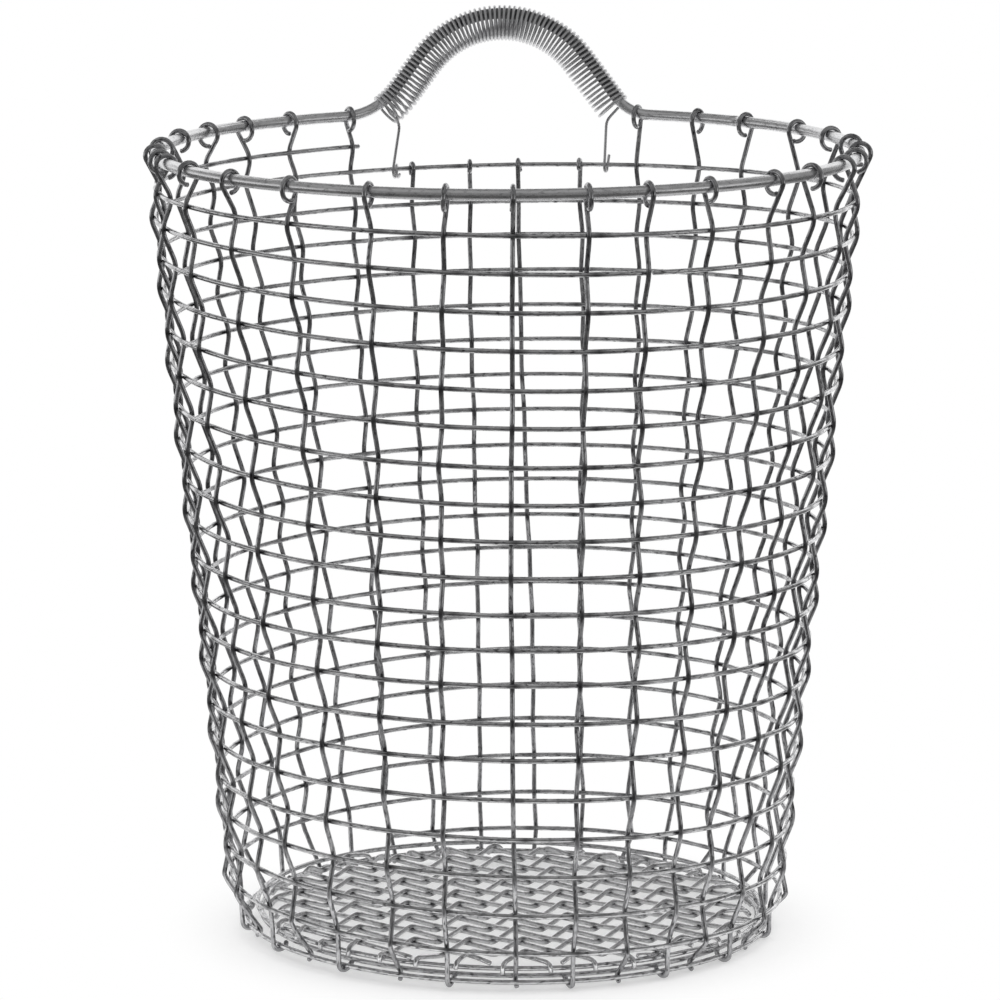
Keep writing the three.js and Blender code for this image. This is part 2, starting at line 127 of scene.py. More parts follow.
def wear_and_contact_shade(tree, along, marks):
    """How dark the wire gets: short dark wear marks, and a rub mark with painted contact shade where another
    wire bears on it.
    """
    link = tree.links.new
    dashes = add_node(tree, "ShaderNodeMapping", {"Scale": (DASH_STRETCH, 1.0, 1.0)})
    specks = add_node(tree, "ShaderNodeTexNoise", {"Scale": 1.0, "Detail": 2.0})
    mark_ends = {"From Min": MARK_FROM, "From Max": MARK_FULL, "To Max": marks}
    mark = add_node(tree, "ShaderNodeMapRange", mark_ends)
    rub_and_shade = add_node(tree, "ShaderNodeAttribute")
    rub_and_shade.attribute_name = "rub_and_shade"
    worn_and_shaded = add_math(tree, "MAXIMUM")
    link(along.outputs["UV"], dashes.inputs["Vector"])
    link(dashes.outputs["Vector"], specks.inputs["Vector"])
    link(specks.outputs["Fac"], mark.inputs["Value"])
    link(mark.outputs["Result"], worn_and_shaded.inputs[0])
    link(rub_and_shade.outputs["Fac"], worn_and_shaded.inputs[1])
    return worn_and_shaded.outputs["Value"]


print("scratches are", SCRATCH_DEPTH / MM, "mm deep")

# %% [markdown]
# ## Five finishes
# The same steel is given a different grey from wire to wire. The uprights were crimped between rollers;
# their darker grey is painted shade, for the dark surroundings that upright wires reflect. The weaving wire
# has a bright skin, and the floor mat is brighter still: a painted highlight, for the bright reflections on
# its wires. The rim is duller and more even, and the thin coil has hardly a mark. One function makes them
# all from two greys, two roughnesses, the fineness of the streaks and the strength of the marks.

# %% Make the steel finishes
# Wear marks, and the painted contact shade where wires bear on each other, both darken towards this grey.
WORN_AND_SHADED_GREY = (0.05, 0.05, 0.055, 1)
DULL_AT, BRIGHT_AT = 0.36, 0.62
SMOOTH_AT, ROUGH_AT = 0.3, 0.7
COOL = 0.01


def cool_grey(level):
    return (level, level, level + COOL, 1)


def grey_tone(tree, scratches, patches, bright, dull):
    """Scratches and patches in equal parts, turned into a grey between dull and bright."""
    link = tree.links.new
    half = add_math(tree, "MULTIPLY", 0.5)
    both = add_math(tree, "MULTIPLY_ADD", 0.5)
    tone = add_node(tree, "ShaderNodeValToRGB")
    tone.color_ramp.elements[0].position = DULL_AT
    tone.color_ramp.elements[0].color = cool_grey(dull)
    tone.color_ramp.elements[1].position = BRIGHT_AT
    tone.color_ramp.elements[1].color = cool_grey(bright)
    link(patches, half.inputs[0])
    link(scratches, both.inputs[0])
    link(half.outputs["Value"], both.inputs[2])
    link(both.outputs["Value"], tone.inputs["Fac"])
    return tone.outputs["Color"]


def drawn_steel(name, bright, dull, smooth, rough, streaks, marks):
    steel = blank_material(name)
    tree = steel.node_tree
    link = tree.links.new
    along = add_node(tree, "ShaderNodeUVMap")
    along.uv_map = "along_wire"
    scratches, patches = scratches_and_patches(tree, along, streaks)
    darken = add_node(tree, "ShaderNodeMix")
    darken.data_type = "RGBA"
    darken.inputs["B"].default_value = WORN_AND_SHADED_GREY
    gloss_ends = {"From Min": SMOOTH_AT, "From Max": ROUGH_AT, "To Min": smooth, "To Max": rough}
    gloss = add_node(tree, "ShaderNodeMapRange", gloss_ends)
    bump = add_node(tree, "ShaderNodeBump", {"Strength": 0.25, "Distance": SCRATCH_DEPTH})
    shader = add_node(tree, "ShaderNodeBsdfPrincipled", {"Metallic": 1.0})
    out = add_node(tree, "ShaderNodeOutputMaterial")
    link(grey_tone(tree, scratches, patches, bright, dull), darken.inputs["A"])
    link(wear_and_contact_shade(tree, along, marks), darken.inputs["Factor"])
    link(darken.outputs["Result"], shader.inputs["Base Color"])
    link(patches, gloss.inputs["Value"])
    link(gloss.outputs["Result"], shader.inputs["Roughness"])
    link(scratches, bump.inputs["Height"])
    link(bump.outputs["Normal"], shader.inputs["Normal"])
    link(shader.outputs["BSDF"], out.inputs["Surface"])
    return steel


# The uprights' darker greys are painted shade.
shaded_upright_steel = drawn_steel("upright_wire_with_painted_shade", 0.66, 0.26, 0.11, 0.24, streaks=1.8, marks=0.90)
row_steel = drawn_steel("drawn_row_wire", 0.96, 0.46, 0.11, 0.24, streaks=1.8, marks=0.85)
# The floor's lighter dull grey is a painted highlight.
highlighted_floor_steel = drawn_steel("floor_wire_with_painted_highlight", 0.98, 0.64, 0.08, 0.18, streaks=1.8, marks=0.60)
rim_steel = drawn_steel("drawn_rim_wire", 0.92, 0.76, 0.22, 0.34, streaks=1.6, marks=0.35)
coil_steel = drawn_steel("bright_coil_wire", 0.84, 0.58, 0.28, 0.42, streaks=3.2, marks=0.0)
finishes = (shaded_upright_steel, row_steel, highlighted_floor_steel, rim_steel, coil_steel)
print("finishes:", *[steel.name for steel in finishes])

# %% [markdown]
# ## One way to make every wire
# A curve with a round bevel would be the quick way, but then the finish couldn't follow the wire and the
# cut ends would be flat discs. So a wire is built ring by ring along its middle line. Each ring is the
# ring before it, turned as little as the bend needs, so that nothing twists, and an open end gets a small
# nose like a wire that was snipped.

# %% Turn a ring along a row of points
def turn_frames(points, closed):
    ahead = np.roll(points, -1, 0) - points
    behind = points - np.roll(points, 1, 0)
    if not closed:
        ahead[-1] = behind[-1]
        behind[0] = ahead[0]
    ahead /= np.linalg.norm(ahead, axis=1)[:, None]
    behind /= np.linalg.norm(behind, axis=1)[:, None]
    heading = ahead + behind
    heading /= np.linalg.norm(heading, axis=1)[:, None]
    start = np.cross(heading[0], (0.0, 0.0, 1.0))
    if np.linalg.norm(start) < 0.2:
        start = np.cross(heading[0], (0.0, 1.0, 0.0))
    sides = [start / np.linalg.norm(start)]
    for way in heading[1:]:
        side = sides[-1] - way * np.dot(sides[-1], way)
        sides.append(side / np.linalg.norm(side))
    sides = np.array(sides)
    if closed:
        last = sides[-1] - heading[0] * np.dot(sides[-1], heading[0])
        over = np.cross(heading[0], sides[0])
        slip = math.atan2(np.dot(last, over), np.dot(last, sides[0]))
        share = -slip * np.arange(len(points)) / len(points)
        sides = sides * np.cos(share)[:, None] + np.cross(heading, sides) * np.sin(share)[:, None]
    return heading, sides, np.cross(heading, sides)


print("ring turner ready")

# %% Sweep a round wire along a row of points
NOSE, NOSE_SIZE = 0.35, 0.62
# How far along the wire a rub mark with its painted contact shade spreads.
RUB_AND_SHADE_REACH = 1.5
MAP_START = (0, 900)


def spans_and_steps(count, around, closed):
    """Which ring and which step round it each quad starts from."""
    spans = count if closed else count - 1
    return np.meshgrid(np.arange(spans), np.arange(around), indexing="ij")


def ring_faces(count, around, closed):
    """Quads from ring to ring, and a cap on each open end."""
    i, j = spans_and_steps(count, around, closed)
    i2, j2 = (i + 1) % count, (j + 1) % around
    quads = np.stack([i * around + j, i * around + j2, i2 * around + j2, i2 * around + j], -1)
    faces = [tuple(q) for q in quads.reshape(-1, 4).tolist()]
    if not closed:
        faces.append(tuple(range(around))[::-1])
        faces.append(tuple((count - 1) * around + k for k in range(around)))
    return faces


def lay_map(body, points, length, around, girth, closed):
    """A map in millimetres, along the wire from a chance start and round it."""
    far = np.append(length, length[-1] + np.linalg.norm(points[0] - points[-1]))
    i, j = spans_and_steps(len(points), around, closed)
    start = luck.uniform(*MAP_START)
    u = np.stack([far[i], far[i], far[i + 1], far[i + 1]], -1).reshape(-1) + start
    v = np.stack([j, j + 1, j + 1, j], -1).reshape(-1) * girth
    uv = np.zeros((len(body.loops), 2))
    uv[:, 0] = start
    uv[: len(u), 0] = u
    uv[: len(v), 1] = v
    body.uv_layers.new(name="along_wire").data.foreach_set("uv", uv.reshape(-1))


def rub_and_shade_marks(length, spots, strength):
    """How dark each ring is painted, from the rings that another wire bears on: a rub mark and painted
    contact shade.
    """
    rub_and_shade = np.zeros(len(length))
    for spot in spots:
        near = np.abs(length - length[spot])
        rub_and_shade = np.maximum(rub_and_shade, luck.uniform(*strength) * np.exp(-((near / RUB_AND_SHADE_REACH) ** 2)))
    return rub_and_shade


def round_wire(name, points, diameter, finish, around=10, closed=False, rubbed_and_shaded=(), rub_and_shade_strength=(0.3, 0.85)):
    """A wire through points in millimetres, with the points that another wire bears on, which are painted
    dark there: a rub mark and painted contact shade.
    """
    points = np.asarray(points, float)
    radius = diameter / 2
    heading, side, over = turn_frames(points, closed)
    sizes = np.ones(len(points))
    if not closed:
        nose = NOSE * radius
        points = np.vstack([points[0] - heading[0] * nose, points, points[-1] + heading[-1] * nose])
        side = np.vstack([side[0], side, side[-1]])
        over = np.vstack([over[0], over, over[-1]])
        sizes = np.concatenate([[NOSE_SIZE], sizes, [NOSE_SIZE]])
        rubbed_and_shaded = [spot + 1 for spot in rubbed_and_shaded]
    angle = 2 * math.pi * np.arange(around) / around
    ring = np.cos(angle)[None, :, None] * side[:, None, :] + np.sin(angle)[None, :, None] * over[:, None, :]
    skin = points[:, None, :] + ring * (radius * sizes)[:, None, None]
    faces = ring_faces(len(points), around, closed)
    body = bpy.data.meshes.new(name)
    body.from_pydata((skin.reshape(-1, 3) * MM).tolist(), [], faces)
    body.update()
    steps = np.linalg.norm(np.diff(points, axis=0), axis=1)
    length = np.concatenate([[0.0], np.cumsum(steps)])
    lay_map(body, points, length, around, math.pi * diameter / around, closed)
    rub_and_shade = np.repeat(rub_and_shade_marks(length, rubbed_and_shaded, rub_and_shade_strength), around)
    body.attributes.new("rub_and_shade", "FLOAT", "POINT").data.foreach_set("value", rub_and_shade)
    body.polygons.foreach_set("use_smooth", [len(f) == 4 for f in faces])
    body.materials.append(finish)
    wire = bpy.data.objects.new(name, body)
    scene.collection.objects.link(wire)
    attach(wire, "root")
    return wire


print("wire maker ready")

# %% Round the corners of a bent wire
LEG_SHARE = 0.45


def soften(corners, cut, steps=4):
    """Round each corner of a bent wire; returns the points and the place of each old corner among them."""
    corners = np.asarray(corners, float)
    points, places = [corners[0]], [0]
    for before, here, after in zip(corners[:-2], corners[1:-1], corners[2:]):
        back, forth = before - here, after - here
        a = here + back * min(LEG_SHARE, cut / np.linalg.norm(back))
        b = here + forth * min(LEG_SHARE, cut / np.linalg.norm(forth))
        t = np.linspace(0, 1, steps + 1)[:, None]
        arc = (1 - t) ** 2 * a + 2 * t * (1 - t) * here + t**2 * b
        places.append(len(points) + steps // 2)
        points.extend(arc)
    points.append(corners[-1])
    places.append(len(points) - 1)
    return np.array(points), places


print("corner rounder ready")

# %% [markdown]
# ## Rim and handle
# The rim is one thick wire, bent to a hoop. At the back it climbs into an arch: a sweep up from the rim,
# a straight leg, a round top, and the same down again. I draw the arch flat, as a length along the rim
# and a height over it, and wrap it on the rim's cylinder. The ends of the wire meet in a butt joint at
# the right of the handle, which shows as a fine seam, so the wire is left open there.

# %% Shape the arch
RIM_R, RIM_Z, RIM_WIRE = 150.0, 340.0, 5.0
UPRIGHTS = 33
SPACING = 2 * math.pi / UPRIGHTS
HANDLE = math.pi + math.radians(0.9)
RISE, TOP_R, SLOPE = 44.7, 48.0, math.radians(52)
RIGHT_BEND, LEFT_BEND = 20.0, 32.0
LEG_TOP = RISE - TOP_R + TOP_R * math.cos(SLOPE)
TOP_HALF = TOP_R * math.sin(SLOPE) + LEG_TOP / math.tan(SLOPE)


def half_span(bend):
    return TOP_HALF + bend * math.tan(SLOPE / 2)


def half_length(bend):
    leg = LEG_TOP / math.sin(SLOPE) - bend * math.tan(SLOPE / 2)
    return bend * SLOPE + leg + TOP_R * SLOPE


ARCH_LENGTH = half_length(RIGHT_BEND) + half_length(LEFT_BEND)


def at_bearing(bearing, r, z):
    """Bearings run from the front round by the right to the handle."""
    return np.array([r * math.sin(bearing), -r * math.cos(bearing), z])


def arch_at(way, bend=RIGHT_BEND):
    """Along the rim, up from it, and the slope there, for a length of wire from the arch's right foot."""
    if way > half_length(bend):
        along, up, lean = arch_at(ARCH_LENGTH - way, LEFT_BEND)
        return -along, up, -lean
    if way < bend * SLOPE:
        turn = way / bend
        return -half_span(bend) + bend * math.sin(turn), bend * (1 - math.cos(turn)), turn
    to_top = half_length(bend) - TOP_R * SLOPE - way
    if to_top > 0:
        along = -TOP_R * math.sin(SLOPE) - to_top * math.cos(SLOPE)
        return along, LEG_TOP - to_top * math.sin(SLOPE), SLOPE
    turn = SLOPE + to_top / TOP_R
    return -TOP_R * math.sin(turn), RISE - TOP_R + TOP_R * math.cos(turn), turn


def on_rim(along, up, out=0.0):
    return at_bearing(HANDLE + along / RIM_R, RIM_R + out, RIM_Z + up)


arch_ways = np.linspace(0, ARCH_LENGTH, 90)
arch_points = [on_rim(*arch_at(way)[:2]) for way in arch_ways]
spans = [round(half_span(bend), 1) for bend in (RIGHT_BEND, LEFT_BEND)]
print("arch length", round(ARCH_LENGTH, 1), "mm, half spans", spans)

# %% Bend the rim wire
JOINT = HANDLE - 4.05 * SPACING
SEAM = 0.0012
BARE_RIGHT, BARE_LEFT, UNDER_EDGE = 15.0, 18.0, 2
# The rim under the coil is painted dark all along: painted shade for the dark inside the coil, seen between
# its turns.
UNDER_COIL_SHADE = (0.75, 0.95)
right_foot = HANDLE - half_span(RIGHT_BEND) / RIM_R
left_foot = HANDLE + half_span(LEFT_BEND) / RIM_R
first_bearings = np.linspace(JOINT, right_foot, 14)[:-1]
last_bearings = np.linspace(left_foot, JOINT + 2 * math.pi - SEAM, 190)[1:]
first_leg = [at_bearing(b, RIM_R, RIM_Z) for b in first_bearings]
last_leg = [at_bearing(b, RIM_R, RIM_Z) for b in last_bearings]
coil_from, coil_to = BARE_RIGHT + UNDER_EDGE, ARCH_LENGTH - BARE_LEFT - UNDER_EDGE
rubbed_and_shaded = [len(first_leg) + k for k, way in enumerate(arch_ways) if coil_from < way < coil_to]
rim_points = first_leg + arch_points + last_leg
rim_wire = round_wire("rim_wire", rim_points, RIM_WIRE, rim_steel, 20, False, rubbed_and_shaded, UNDER_COIL_SHADE)
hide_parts("rim_and_handle")
print("rim wire points", len(rim_points))

# %% [markdown]
# ## Where the uprights stand
# Thirty-three uprights share the rim. They were set by eye, so none stands quite on its even place: at
# the front left a whole group is crowded to one side, and elsewhere neighbours lean alike, with the foot
# to one side or the top to the other. I count the places from the middle of the handle, and give each
# such run of neighbours the degrees that it is off at its foot and at the rim. Chance adds the small
# bends of each wire.

# %% Say where each upright stands
SHORT_EACH_SIDE = 2
CROWD, CROWD_MIDDLE, CROWD_REACH = math.radians(8.3), math.radians(304), math.radians(48)
LEAN_HEIGHTS = (14.0, 120.0, 230.0, 338.0)
BENT_BY_EYE = 0.6
LEANING_RUNS = [
    {"places": range(4, 7), "foot": -1, "rim": 1},
    {"places": range(8, 11), "foot": 2, "rim": 2},
    {"places": range(12, 13), "foot": 2, "rim": 0},
    {"places": range(14, 17), "foot": -2.5, "rim": 0},
    {"places": range(18, 21), "foot": 1, "rim": 0},
    {"places": range(21, 25), "foot": -1, "rim": 2},
    {"places": range(26, 29), "foot": 3, "rim": 0},
    {"places": range(29, 34), "foot": -1, "rim": 3},
]


def leans_of(place):
    """How far one upright is off at its foot, a third and two thirds of the way up, and at the rim."""
    straight = np.zeros(len(LEAN_HEIGHTS))
    for run in LEANING_RUNS:
        if place in run["places"]:
            straight = np.linspace(run["foot"], run["rim"], len(LEAN_HEIGHTS))
    return np.radians([lean + luck.uniform(-BENT_BY_EYE, BENT_BY_EYE) for lean in straight])


LEANS = [leans_of(place) for place in range(1, UPRIGHTS + 1)]


def even_bearing(place):
    return HANDLE + (place - 0.5) * SPACING


def turn_between(bearing, other):
    """The shorter way from one bearing to another."""
    return (bearing - other + math.pi) % (2 * math.pi) - math.pi


def off_even(place, z):
    """How far an upright stands from its even place at a height, in radians."""
    away = min(1.0, abs(turn_between(even_bearing(place), CROWD_MIDDLE)) / CROWD_REACH)
    return np.interp(z, LEAN_HEIGHTS, LEANS[place - 1]) - CROWD * math.cos(away * math.pi / 2) ** 2


worst = max(abs(off_even(p, z)) for p in range(1, UPRIGHTS + 1) for z in LEAN_HEIGHTS)
print("uprights", UPRIGHTS, "furthest off its even place", round(math.degrees(worst), 1), "degrees")

# %% [markdown]
# ## The weaving wire
# One wire goes round and round from the rim to the foot. It hardly bends: the uprights do the weaving
# round it. Each turn was beaten down by hand, so the rows are not quite even: they lie closer together
# below the middle, ride up at the back, and waver by a hair. A few rules say so, and the wire follows
# their sum. Near the top a second length of wire takes over behind an upright, so the spiral is made in
# two pieces.

# %% Find the height of a row on an even wall
MESH_WIRE = 2.1
ROWS = 20
ROW_PITCH, SPIRAL_TOP = 16.13, 330.15
START_DROP, START_REACH = 3.9, 0.25
CLOSER, CLOSER_ROW, CLOSER_REACH = 5.3, 14.6, 5.2
BACK_RISE, BACK_ROW, BACK_REACH = 2.1, 6.5, 3.4
LOW_TILT, TILT_FROM, TILT_FULL = 2.2, 13, 17
WAVER = 0.45
FIRST_PLACE = SHORT_EACH_SIDE + 1
FIRST_BEARING = even_bearing(FIRST_PLACE)
waver = [luck.uniform(-WAVER, WAVER) for _ in range(2 * ROWS + 4)]


def hump(turns, middle, reach):
    return math.exp(-(((turns - middle) / reach) ** 2))


def even_height(turns):
    """Height of the spiral after a number of turns, before the wall was pulled out of round."""
    to_back = -math.cos(FIRST_BEARING + 2 * math.pi * turns)
    z = SPIRAL_TOP - ROW_PITCH * turns - START_DROP * hump(turns, 0, START_REACH)
    z += CLOSER * hump(turns, CLOSER_ROW, CLOSER_REACH)
    z += BACK_RISE * hump(turns, BACK_ROW, BACK_REACH) * (1 + to_back) / 2
    z += LOW_TILT * np.interp(turns, (TILT_FROM, TILT_FULL), (0, 1)) * to_back
    half_turns = 2 * turns + 1
    k = int(half_turns)
    blend = 0.5 - 0.5 * math.cos(math.pi * (half_turns - k))
    return z + waver[k] * (1 - blend) + waver[k + 1] * blend


print("rows from", round(even_height(0), 1), "to", round(even_height(ROWS), 1), "mm on an even wall")

# %% [markdown]
# ## A wall out of round
# The basket has been used: its left side bulges a little below the rim, its foot doesn't stand quite
# flat, and the rows rise and sag at the sides. Each of these is a small smooth function of the bearing
# and the height, so that every wire that passes there can follow it.

# %% Pull the wall out of round
TOP_ROW, LOW_ROW, LOW_R = 330.0, 12.0, 118.2
LEFT_BULGE, BULGE_FOCUS, BULGE_FADES = 2.4, 6, (312, 332)
FOOT_LIFT, LIFTED_AT = 2.8, math.radians(85)
WALL_MIDDLE, WALL_HALF = 170, 160
SWELL_ALL, SWELL_SIDES, SWELL_LEFT, SWELL_TWIST = 0.9, 5.2, 1.6, 1.6
CALM_FROM, CALM_OVER = 14, 60


def left_bulge(bearing):
    return LEFT_BULGE * max(0.0, -math.sin(bearing)) ** BULGE_FOCUS


def foot_lift(bearing):
    """The foot doesn't stand quite flat: it clears the table a little at the left."""
    return FOOT_LIFT * (0.5 + 0.5 * math.cos(bearing + LIFTED_AT)) ** 2


def row_swell(bearing, z):
    """How far a row rises or sags at the sides, where the wall was pulled out of round."""
    up = (z - WALL_MIDDLE) / WALL_HALF
    across = math.sin(bearing)
    swell = (up - up**3) * (SWELL_ALL + SWELL_SIDES * across**2 - SWELL_LEFT * across)
    swell -= SWELL_TWIST * up**2 * (1 - up) * math.sin(2 * bearing)
    calm = np.clip((z - CALM_FROM) / CALM_OVER, 0, 1)
    return swell * calm + foot_lift(bearing) * (1 - calm)


def wall_radius(bearing, z):
    """The wall is a plain cone, but for the left side, which was squeezed out a little below the rim."""
    even = LOW_R + (RIM_R - LOW_R) * (z - LOW_ROW) / (TOP_ROW - LOW_ROW)
    return even + left_bulge(bearing) * np.interp(z, BULGE_FADES, (1, 0))


def row_height(turns):
    z = even_height(turns)
    return z + row_swell(FIRST_BEARING + 2 * math.pi * turns, z)


print("rows from", round(row_height(0), 1), "to", round(row_height(ROWS), 1), "mm as pulled")

# %% Find every crossing
PUSH = 0.22


def side_at(place, row):
    """+1 where the upright passes outside the weaving wire, -1 inside."""
    return 1 if ((place - FIRST_PLACE) % UPRIGHTS + row) % 2 else -1


def crossing_turns(place, row):
    """How many turns from its start the weaving wire meets an upright."""
    turns = row + ((place - FIRST_PLACE) % UPRIGHTS) / UPRIGHTS
    off = off_even(place, row_height(turns))
    return turns + off_even(place, row_height(turns + off / (2 * math.pi))) / (2 * math.pi)


every_pair = [(place, row) for place in range(1, UPRIGHTS + 1) for row in range(ROWS)]
meetings = sorted((crossing_turns(*pair), side_at(*pair)) for pair in every_pair)
meeting_turns = np.array([m[0] for m in meetings])
meeting_sides = np.array([m[1] for m in meetings])


def weft_at(turns):
    """Bearing, radius and height of the weaving wire; each upright pushes it a hair the other way."""
    z = row_height(turns)
    k = int(np.clip(np.searchsorted(meeting_turns, turns) - 1, 0, len(meetings) - 2))
    t = np.clip((turns - meeting_turns[k]) / (meeting_turns[k + 1] - meeting_turns[k]), 0, 1)
    blend = 0.5 - 0.5 * math.cos(math.pi * t)
    side = meeting_sides[k] * (1 - blend) + meeting_sides[k + 1] * blend
    bearing = FIRST_BEARING + 2 * math.pi * turns
    return bearing, wall_radius(bearing, z) - PUSH * side, z


print("crossings", len(meetings))

# %% Lay the weaving wire
SPLICE_PLACE, SPLICE_ROW = 19, 1
STEPS_A_TURN = 165
START_STUB, END_STUB, SPLICE_GAP = 0.0042, 0.0006, 0.0033
splice = crossing_turns(SPLICE_PLACE, SPLICE_ROW)
last_turn = crossing_turns(FIRST_PLACE, ROWS) + END_STUB


def lay_weft(name, start, stop):
    turns = np.linspace(start, stop, int((stop - start) * STEPS_A_TURN) + 2)
    points = [at_bearing(*weft_at(t)) for t in turns]
    met = meeting_turns[(meeting_turns > start) & (meeting_turns < stop)]
    spots = np.clip(np.searchsorted(turns, met), 0, len(turns) - 1)
    # Where an upright crosses, the weaving wire is painted darker: a rub mark and painted contact shade.
    wire = round_wire(name, points, MESH_WIRE, row_steel, rubbed_and_shaded=spots.tolist())
    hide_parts("weaving_wire")
    return wire


first_length = lay_weft("weaving_wire_first_length", meeting_turns[0] - START_STUB, splice + END_STUB)
long_length = lay_weft("weaving_wire_long_spiral", splice + SPLICE_GAP, last_turn)
print("weaving wire points", len(first_length.data.vertices) + len(long_length.data.vertices))

# %% [markdown]
# ## The uprights
# The uprights pass in and out of the weaving wire by turns. Because their number is odd, one unbroken
# spiral changes side at every upright each time it comes round. The crimps are straight legs with soft
# bends, so I lay one corner at each crossing and round it, which leaves the wire bearing on the row. The
# top of an upright hooks over the rim with room to spare, and its end hangs below, or it hooks over the
# first row under the handle. Its foot hooks round the foot ring, from outside and from inside by turns.

# %% Bend the hooks
FOOT_R = 113.2
SNUG = 0.04
GRIP = (RIM_WIRE + MESH_WIRE) / 2 + SNUG
SMALL_GRIP = MESH_WIRE + SNUG
FOOT_Z = SMALL_GRIP + MESH_WIRE / 2
CHEEK_FROM, CHEEK_OVER = 150, 60


def hook(hold, size, side, start_from, stop, drop=0.0, skew=0.0, step=14):
    """Radius, height and sideways shift round a held wire, from where a straight wire meets it.

    It ends at a stop angle. A loose hook has straight cheeks: its second half lies lower by drop."""
    dx, dz = side * (start_from[0] - hold[0]), start_from[1] - hold[1]
    lean = math.acos(min(1.0, size / math.hypot(dx, dz)))
    start = math.atan2(dz, dx) + (lean if stop > 0 else -lean)
    stop = math.radians(stop)
    count = max(3, int(abs(stop - start) / math.radians(step)))
    points = []
    for part in np.linspace(0, 1, count):
        angle = start + (stop - start) * part
        lower = drop * np.clip((math.degrees(abs(angle)) - CHEEK_FROM) / CHEEK_OVER, 0, 1)
        up = hold[1] + size * math.sin(angle) - lower
        points.append((hold[0] + side * size * math.cos(angle), up, skew * part * part))
    return points


print("grip on the rim", round(GRIP, 2), "mm, on a mesh wire", round(SMALL_GRIP, 2), "mm")

# %% Bend the foot and the top of an upright
FOOT_LEVEL, TUCK = 10, 1.6
OUTER_STOP, OUTER_SKEW, OUTER_LOOSE = (-235, -210), (2.0, 3.2), (0.25, 0.55)
INNER_STOP, INNER_SKEW = (-84, -70), (-1, 1)
TOP_SKEW = (-0.9, 0.9)
SHORT_STOP, SHORT_DROP = (215, 262), 0.7
RIM_SLACK, RIM_SHIFT, RIM_STOP, RIM_DROP = (0.7, 1.2), 0.4, (258, 300), (0.2, 0.9)


def is_short(place):
    return place <= SHORT_EACH_SIDE or place > UPRIGHTS - SHORT_EACH_SIDE


def foot_bearing(place):
    return even_bearing(place) + off_even(place, FOOT_LEVEL)


def foot_of(place, low):
    """The foot hook, and the corner over it where the wire first runs straight down inside the ring."""
    side = -side_at(place, ROWS - 1)
    outside = side > 0
    tuck = [] if outside else [(low[0], low[1] - TUCK, 0.0)]
    stop = luck.uniform(*OUTER_STOP) if outside else luck.uniform(*INNER_STOP)
    to_front = -math.copysign(1, math.sin(even_bearing(place)))
    skew = to_front * luck.uniform(*OUTER_SKEW) if outside else luck.uniform(*INNER_SKEW)
    loose = luck.uniform(*OUTER_LOOSE) if outside else 0.0
    held = (FOOT_R + left_bulge(foot_bearing(place)), FOOT_Z + loose)
    return hook(held, SMALL_GRIP + loose, side, tuck[0] if tuck else low, stop, skew=skew), tuck


def top_of(place, crossings):
    """The top hook: over the first row under the handle, over the rim elsewhere."""
    skew = luck.uniform(*TOP_SKEW)
    if is_short(place):
        _, r, z = weft_at(crossing_turns(place, 0))
        stop = luck.uniform(*SHORT_STOP)
        return hook((r, z), SMALL_GRIP, side_at(place, 0), crossings[1], stop, SHORT_DROP, skew)
    side = side_at(place, 1)
    slack = luck.uniform(*RIM_SLACK)
    held = (RIM_R + RIM_SHIFT * slack * side, RIM_Z - slack)
    stop = luck.uniform(*RIM_STOP)
    drop = luck.uniform(*RIM_DROP)
    return hook(held, GRIP + slack, side, crossings[0], stop, drop, skew)


print("short uprights", [place for place in range(1, UPRIGHTS + 1) if is_short(place)])

# %% Bend the uprights
CORNER = MESH_WIRE + 0.60
CRIMP_CUT, CRIMP_STEPS = 4.3, 6
DEPTH_CHANCE, HEIGHT_CHANCE = 0.08, 0.25
SWAY, SWAYS = 0.5, 12
LIFT_BELOW, LIFT_OVER = 8, 4


def corners_of(place):
    """A corner at each crossing, on the side of the row where the upright passes it."""
    corners = []
    for row in range(ROWS):
        _, r, z = weft_at(crossing_turns(place, row))
        reach = CORNER + luck.uniform(-DEPTH_CHANCE, DEPTH_CHANCE)
        z += luck.uniform(-HEIGHT_CHANCE, HEIGHT_CHANCE)
        corners.append((r + side_at(place, row) * reach, z, 0.0))
    return corners


def upright_line(place):
    """Radius, height and sideways shift along an upright from its foot, and where it crosses the rows."""
    crossings = corners_of(place)
    foot, tuck = foot_of(place, crossings[-1])
    top = top_of(place, crossings)
    body = crossings[1 if is_short(place) else 0 :][::-1]
    middle, places = soften([foot[0]] + tuck + body + [top[0]], CRIMP_CUT, CRIMP_STEPS)
    shift = 1 + len(tuck)
    places = [p + len(foot) - 1 for p in places[shift : shift + len(body)]]
    return foot[:0:-1] + [tuple(p) for p in middle] + top[1:], places


def make_upright(place):
    line, places = upright_line(place)
    sway = [luck.uniform(-1, 1) for _ in range(SWAYS + 2)]
    lift = foot_lift(foot_bearing(place))
    points = []
    for r, z, shift in line:
        z += lift * np.clip((LIFT_BELOW - z) / LIFT_OVER, 0, 1)
        part_up = np.clip(z / RIM_Z, 0, 1)
        f = part_up * SWAYS
        k = int(f)
        bend = sway[k] * (1 - f + k) + sway[k + 1] * (f - k)
        calm = math.sin(math.pi * part_up)
        bearing = even_bearing(place) + off_even(place, z) + (SWAY * bend * calm + shift) / r
        points.append(at_bearing(bearing, r, z))
    node = "upright_%02d" % place
    # Where a row crosses, the upright is painted darker: a rub mark and painted contact shade.
    wire = round_wire(node + "_wire", points, MESH_WIRE, shaded_upright_steel, rubbed_and_shaded=places)
    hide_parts(node)
    return wire


uprights = [make_upright(place) for place in range(1, UPRIGHTS + 1)]
print("uprights", len(uprights), "each with about", len(uprights[9].data.vertices), "points")

